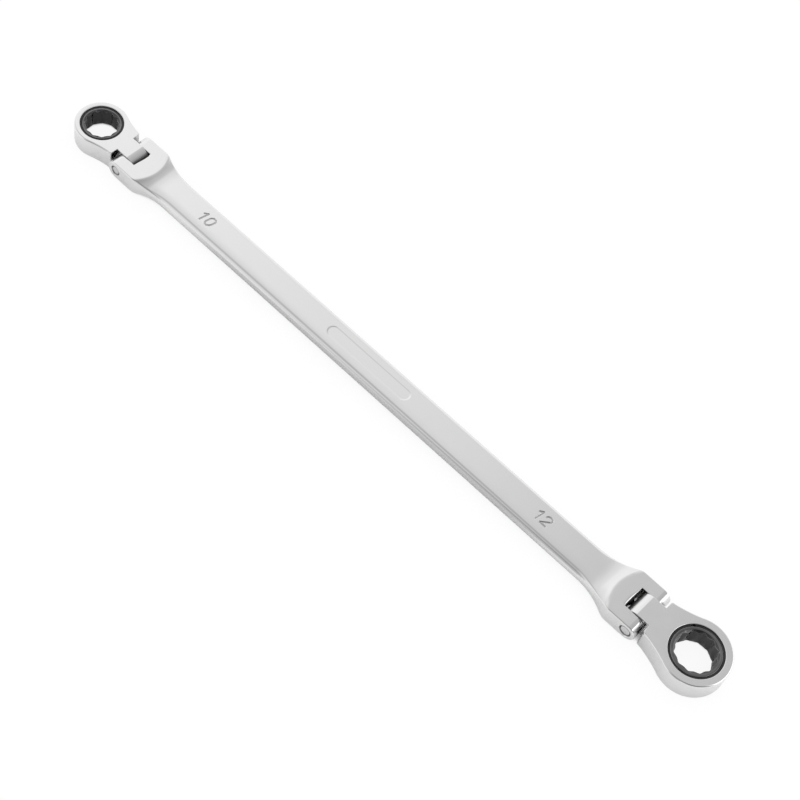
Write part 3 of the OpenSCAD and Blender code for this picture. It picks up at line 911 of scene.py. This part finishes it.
def build_head(e):
    """A ring head with its tang, pin hole, pawl pocket and spring hole."""
    name = e.name
    verts, faces, flat_up, flat_down, hole_up, hole_down = head_mesh(e)
    mesh = bpy.data.meshes.new("head")
    mesh.from_pydata([tuple(c * MM for c in p) for p in place(e, verts)], [], faces)
    bm = bmesh.new()
    bm.from_mesh(mesh)
    fill_flat(bm, flat_up, hole_up)
    fill_flat(bm, flat_down, hole_down)
    bmesh.ops.remove_doubles(bm, verts=bm.verts, dist=1e-7)
    bm.to_mesh(mesh)
    bm.free()
    head = dress(f"ring_head_{name}", mesh, CHROME)
    r = e.pin_r + RUN
    pin_hole = spin(e, [(0.001, -9), (r, -9), (r, 9), (0.001, 9)], "Y", (0, 0, 0), n=64)
    back = e.root_r + PAWL_L + PAWL_TRAVEL
    mid = (e.teeth_z0 + e.teeth_z1) / 2
    x_back = e.reach - back
    spring = spin(e, [(0.001, x_back - SPRING_HOLE_L), (SPRING_HOLE_R, x_back - SPRING_HOLE_L),
                      (SPRING_HOLE_R, x_back + 1), (0.001, x_back + 1)], "X", (0, 0, mid), n=40)
    pocket = box_cutter(e, (x_back, -PAWL_W / 2 - RUN, e.teeth_z0 - FLOAT / 2),
                        (e.reach, PAWL_W / 2 + RUN, e.teeth_z1 + FLOAT / 2))
    cut(head, [add_mesh("pin_hole", *pin_hole, CHROME), add_mesh("spring_hole", *spring, CHROME), pocket])
    # painted shade on the end of the tang, down in the slot
    into = (e.pin - e.sign * positions(head)[0]) / e.tang_r
    paint_grime_and_shade(head, np.clip((into - TANG_FADE[0]) / TANG_FADE[1], 0, 1) * SLOT_PAINTED_SHADE)
    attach(weigh(head), f"head_{name}")
    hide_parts(f"head_{name}")


# ---- ratchet gears and rings ----

def star_radius(e, a):
    """Radius of the 12-point opening at angle a (degrees), with its corners and ridges eased."""
    corner = e.af / math.sqrt(3)
    best = 0
    for turn in (STAR_TURN, STAR_TURN + 30):
        local = (a - turn) % 60 - 30
        best = max(best, corner * math.cos(math.radians(30)) / math.cos(math.radians(local)))
    ridge = e.af / 2 / math.cos(math.radians(15))
    best = float(smooth_min(np.array(best), corner - CORNER_EASE[0], CORNER_EASE[1]))
    return float(smooth_max(np.array(best), ridge + RIDGE_EASE[0], RIDGE_EASE[1]))


def build_gear(e):
    """A ratchet gear: its 12-point opening, hub and teeth as rows of rings."""
    name = e.name
    top = e.head_t / 2 - GEAR_SINK
    pitch = 360 / TEETH
    angles = [(i + part) * pitch for i in range(TEETH) for part in (-0.4, -0.1, 0.1, 0.4)]
    tooth = [e.root_r, e.tip_r, e.tip_r, e.root_r] * TEETH
    star = [star_radius(e, a) for a in angles]
    corner = e.af / math.sqrt(3)
    hub, ease = e.hub_r, HUB_ROUND
    n = len(angles)
    rows = []
    heights = [top - 0.05 * k for k in range(13)]
    heights += [top * t for t in (0.6, 0.2, -0.2, -0.6)]
    heights += [-z for z in reversed(heights[:13])]
    for z in heights:
        wide, fall = (MOUTH, MOUTH_CONE) if z > 0 else (UNDER_MOUTH, UNDER_CONE)
        cone = corner + wide - (top - abs(z)) * fall
        rows.append([(float(smooth_max(np.array(s), cone, 0.05)), z) for s in star])
    rows.append([(hub, -top + ease)] * n)
    rows.insert(-1, [(hub - ease, -top)] * n)
    for s, c in quarter(30, 60):
        rows.insert(-1, [(hub - ease * s, -top + ease * c)] * n)
    rows.append([(hub, e.teeth_z0)] * n)
    rows.append([(t - TOOTH_BREAK, e.teeth_z0) for t in tooth])
    rows.append([(t, e.teeth_z0 + TOOTH_BREAK) for t in tooth])
    rows.append([(t, e.teeth_z1 - TOOTH_BREAK) for t in tooth])
    rows.append([(t - TOOTH_BREAK, e.teeth_z1) for t in tooth])
    rows.append([(hub, e.teeth_z1)] * n)
    for s, c in quarter(90, 60, 30, 0):
        rows.append([(hub - ease * s, top - ease * c)] * n)
    verts = []
    for row in rows:
        verts += [(*on_circle(r, a, e.reach), z) for (r, z), a in zip(row, angles)]
    faces = []
    count = len(rows)
    for j in range(count):
        for i in range(n):
            k, m = (i + 1) % n, (j + 1) % count
            faces.append((j * n + i, j * n + k, m * n + k, m * n + i))
    gear = add_mesh(f"ratchet_gear_{name}", place(e, verts), faces, OXIDE, sharp=28)
    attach(weigh(gear), f"gear_{name}")
    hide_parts(f"gear_{name}")


def soft_box(r0, r1, z0, z1, q):
    """Section of a ring with small rounded corners, as (radius, height)."""
    pts = []
    corners = ((r1 - q, z1 - q, 90), (r1 - q, z0 + q, 0), (r0 + q, z0 + q, -90), (r0 + q, z1 - q, 180))
    for cx, cz, start in corners:
        pts += [on_circle(q, start - 30 * k, cx, cz) for k in range(4)]
    return pts


def build_rings(e):
    """The snap ring, open at one place, and the washer under it."""
    name = e.name
    section = soft_box(e.lip_r, e.bore_r + GROOVE - RUN, e.ring_z, e.ring_z + RING_T, 0.1)
    verts, faces = spin(e, section, "Z", (e.reach, 0, 0), n=140,
                        start=RING_GAP_AT + RING_GAP / 2, sweep=360 - RING_GAP, closed=True)
    ring = add_mesh(f"snap_ring_{name}", verts, faces, CLIP)
    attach(weigh(ring), f"head_{name}")
    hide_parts(f"retaining_ring_{name}")
    section = soft_box(e.lip_r, e.bore_r - RUN, e.washer_z, e.washer_z + WASHER_T, 0.05)
    verts, faces = spin(e, section, "Z", (e.reach, 0, 0), n=144, closed=True)
    washer = add_mesh(f"thin_washer_{name}", verts, faces, GROUND)
    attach(weigh(washer), f"head_{name}")
    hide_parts(f"cover_washer_{name}")


# ---- hinge ----

def build_pin(e):
    """A hinge pin with rounded, slightly domed ends."""
    name = e.name
    r, half, q = e.pin_r + 0.01, e.fork_half - PIN_SHORT / 2, PIN_ROUND
    rim = [(r - q * c, half - q * s) for s, c in quarter(*ROUND_STEPS)]
    end = rim + [(r * 0.6, half + 0.01), (r * 0.3, half + 0.02), (0.001, half + 0.02)]
    profile = [(a, -b) for a, b in reversed(end)] + end
    verts, faces = spin(e, profile, "Y", (0, 0, 0), n=72)
    pin = add_mesh(f"pivot_pin_{name}", verts, faces, PEENED)
    # painted shade on the pin where it lies down in its hole
    paint_grime_and_shade(pin, [max(0, min(1, (half - abs(v[1])) / HOLE_SHADE_FADE)) for v in verts])
    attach(weigh(pin), "shank")
    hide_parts(f"hinge_pin_{name}")


def keep_cad(node, material, bevel):
    """A CAD node that stays: its finish, and rounded edges from a modifier."""
    obj = frame["nodes"][node]
    obj.data.materials.clear()
    obj.data.materials.append(material)
    if bevel:
        flat = obj.modifiers.new("flat_faces", "DECIMATE")
        flat.decimate_type = "DISSOLVE"
        flat.angle_limit = math.radians(0.5)
        mod = obj.modifiers.new("rounded", "BEVEL")
        mod.width = bevel * MM
        mod.segments = 2
        mod.limit_method = "ANGLE"
        mod.angle_limit = math.radians(40)
        mod.use_clamp_overlap = True
    return obj


build_shank()
for end in ENDS:
    build_head(end)
    build_gear(end)
    build_rings(end)
    build_pin(end)
    keep_cad(f"pawl_{end.name}", GROUND, 0.05)
    keep_cad(f"pawl_spring_{end.name}", WIRE, 0)
    keep_cad(f"friction_plunger_{end.name}", CLIP, 0)
    keep_cad(f"plunger_spring_{end.name}", WIRE, 0)


# ---- floor, light and camera ----

PAPER = (0.9, 0.9, 0.9, 1)  # the white sheet's colour
FLOOR_SIZE = 6.0       # metres, half its side
FLOOR_GLOW = 1.0       # what the camera sees of it
GAP_GLOW = 0.12        # painted shadow: the same where it lies deep below the wrench
FLOOR_SHADOW = 0.1     # share of real shading mixed into it


def levels(make, value, stops):
    """Grey levels along a value, as a colour."""
    node = make("ValToRGB", {"Fac": value})
    ramp = node.color_ramp
    ramp.interpolation = "EASE"
    while len(ramp.elements) < len(stops):
        ramp.elements.new(0.5)
    for element, (where, level) in zip(ramp.elements, stops):
        element.position = where
        element.color = (level, level, level, 1)
    return node.outputs["Color"]


def patch(make, direction, centre, reach, stops):
    """Grey levels by how far a direction is from a centre, in x, y and z."""
    (cx, cy), (rx, ry, rz) = centre, reach
    shift, scale = (-cx / rx, -cy / ry, 0), (1 / rx, 1 / ry, 1 / rz)
    spread = make("Mapping", {"Vector": direction, "Location": shift, "Scale": scale}).outputs[0]
    away = make("VectorMath", {0: spread}, operation="LENGTH").outputs["Value"]
    return levels(make, away, stops)


def build_floor():
    """A white sheet under the wrench, in soft shade where the wrench covers it."""
    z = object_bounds()[0][2] - 0.0001
    mesh = bpy.data.meshes.new("floor")
    s = FLOOR_SIZE
    mesh.from_pydata([(-s, -s, z), (s, -s, z), (s, s, z), (-s, s, z)], [], [(0, 1, 2, 3)])
    mat = bpy.data.materials.new("pale_floor")
    mat.use_nodes = True
    make, links = node_maker(mat), mat.node_tree.links
    paper = make("BsdfDiffuse", {"Color": PAPER}).outputs[0]
    # painted shadow: the sheet glows less where it lies deep under the wrench
    open_air = make("AmbientOcclusion", {"Distance": 0.004}, samples=12).outputs["AO"]
    shade = ranged(make, open_air, 0.1, 0.3, GAP_GLOW, FLOOR_GLOW)
    glow = make("Emission", {"Color": (1, 1, 1, 1), "Strength": shade}).outputs[0]
    lit = make("MixShader", {0: 1 - FLOOR_SHADOW, 1: paper, 2: glow}).outputs[0]
    # painted shade: the part that the rounded sides mirror at a low angle is darker
    back = make("NewGeometry").outputs["Incoming"]
    along = make("VectorMath", {0: back, 1: (-1, -1, -1)}, operation="MULTIPLY").outputs[0]
    dim = patch(make, along, FRONT_CENTRE, FRONT_SPREAD, FRONT_STOPS)
    dimmed = blend(make, 1.0, PAPER, dim, blend_type="MULTIPLY")
    mirrored = make("BsdfDiffuse", {"Color": dimmed}).outputs[0]
    path = make("LightPath").outputs
    other = make("MixShader", {0: path["Is Glossy Ray"], 1: paper, 2: mirrored}).outputs[0]
    both = make("MixShader", {0: path["Is Camera Ray"], 1: other, 2: lit}).outputs[0]
    links.new(both, mat.node_tree.nodes["Material Output"].inputs["Surface"])
    mesh.materials.append(mat)
    floor = put("floor", mesh)


# The studio as the metal mirrors it: grey levels by direction, x and y being the wrench's own. A spread
# of ANY in z makes a patch the same at every height.
ANY = 1e6
ROOM_GLOW = 1.25               # what lights everything else
LEVEL_STOPS = ((0.0, 1.3), (0.26, 1.17), (0.36, 1.0), (0.47, 0.72), (0.65, 0.62), (0.85, 0.55), (1.0, 0.6))
BACK_GLOW = 1.35               # behind the wrench, from the first y to the second
BACK_Y = (0.68, 1.0)
DARK_CENTRE = (0.6, -0.35)     # the darker side, where the camera stands
DARK_SPREAD = (2.2, 0.75, ANY)
DARK_STOPS = ((0.0, 0.28), (0.1, 0.3), (0.25, 0.45), (0.385, 0.66), (0.55, 0.82), (0.72, 0.9), (1.0, 1.0))
FAR_CENTRE = (-0.55, -0.15)    # a faint grey over the 10 mm end
FAR_SPREAD = (0.42, 0.52, ANY)
FAR_STOPS = ((0.0, 0.72), (0.5, 0.78), (0.75, 0.88), (1.0, 1.0))
LOW_GLOW = 1.15                # near the horizon, fading between two heights, but not in front
LOW_Z = (0.12, 0.42)
LOW_Y = (-0.8, -0.4)
FRONT_CENTRE = (-0.02, -0.95)  # a darker patch low in front of the wrench
FRONT_SPREAD = (0.34, 0.56, 0.75)
FRONT_STOPS = ((0.0, 0.56), (0.66, 0.58), (0.85, 0.74), (1.0, 1.0))


def build_light():
    """A white studio: bright for the camera and floor, shaded by direction for reflections."""
    world = bpy.data.worlds.new("studio")
    bpy.context.scene.world = world
    world.use_nodes = True
    make = node_maker(world)
    links = world.node_tree.links
    direction = make("TexCoord").outputs["Generated"]
    xyz = make("SeparateXYZ", {0: direction}).outputs

    def grey(level):
        return (level, level, level, 1)

    def shade(light, centre, reach, stops):
        return blend(make, 1.0, light, patch(make, direction, centre, reach, stops), blend_type="MULTIPLY")

    light = levels(make, ranged(make, xyz["X"], -1.0, 1.0), LEVEL_STOPS)
    back = ranged(make, xyz["Y"], *BACK_Y, interpolation_type="SMOOTHSTEP")
    light = blend(make, back, light, grey(BACK_GLOW))
    light = shade(light, DARK_CENTRE, DARK_SPREAD, DARK_STOPS)
    light = shade(light, FAR_CENTRE, FAR_SPREAD, FAR_STOPS)
    low, not_front = ranged(make, xyz["Z"], *LOW_Z, 1.0, 0.0), ranged(make, xyz["Y"], *LOW_Y)
    light = blend(make, calc(make, "MULTIPLY", low, not_front), light, grey(LOW_GLOW))
    light = shade(light, FRONT_CENTRE, FRONT_SPREAD, FRONT_STOPS)
    seen = make("LightPath").outputs
    plain = blend(make, seen["Is Glossy Ray"], grey(ROOM_GLOW), light)
    links.new(plain, world.node_tree.nodes["Background"].inputs["Color"])


CARD_X = (0.147, 0.3)     # metres
CARD_Y = (0.0, 0.12)
CARD_Z = 0.036
CARD_GLOW = 1.8


def build_reflector():
    """A bright card above the 12 mm end, seen only in the metal's reflections."""
    (x0, x1), (y0, y1), z = CARD_X, CARD_Y, CARD_Z
    mesh = bpy.data.meshes.new("reflector")
    mesh.from_pydata([(x0, y0, z), (x1, y0, z), (x1, y1, z), (x0, y1, z)], [], [(0, 1, 2, 3)])
    mat = bpy.data.materials.new("reflector_white")
    mat.use_nodes = True
    shader = mat.node_tree.nodes["Principled BSDF"]
    shader.inputs["Base Color"].default_value = (0, 0, 0, 1)
    shader.inputs["Emission Color"].default_value = (1, 1, 1, 1)
    shader.inputs["Emission Strength"].default_value = CARD_GLOW
    mesh.materials.append(mat)
    card = put("reflector", mesh)
    card.visible_camera = False
    card.visible_diffuse = False
    card.visible_shadow = False


CAMERA_AT = (161.4, -263.8, 474.4)    # millimetres
CAMERA_AIM = (10.4, -3.4, 4.1)
CAMERA_ROLL = 15.69                   # degrees
CAMERA_LENS = 80.85


def build_camera():
    """The photo's camera."""
    cam = put("camera", bpy.data.cameras.new("camera"))
    at, aim = Vector(CAMERA_AT) * MM, Vector(CAMERA_AIM) * MM
    turn = (aim - at).to_track_quat("-Z", "Y").to_matrix().to_4x4()
    cam.matrix_world = Matrix.Translation(at) @ turn @ Matrix.Rotation(math.radians(CAMERA_ROLL), 4, "Z")
    cam.data.lens = CAMERA_LENS
    cam.data.sensor_width = 36     # millimetres
    cam.data.clip_start = 0.01
    bpy.context.scene.camera = cam


build_floor()
build_light()
build_reflector()
build_camera()
bpy.context.scene.view_settings.view_transform = "Standard"
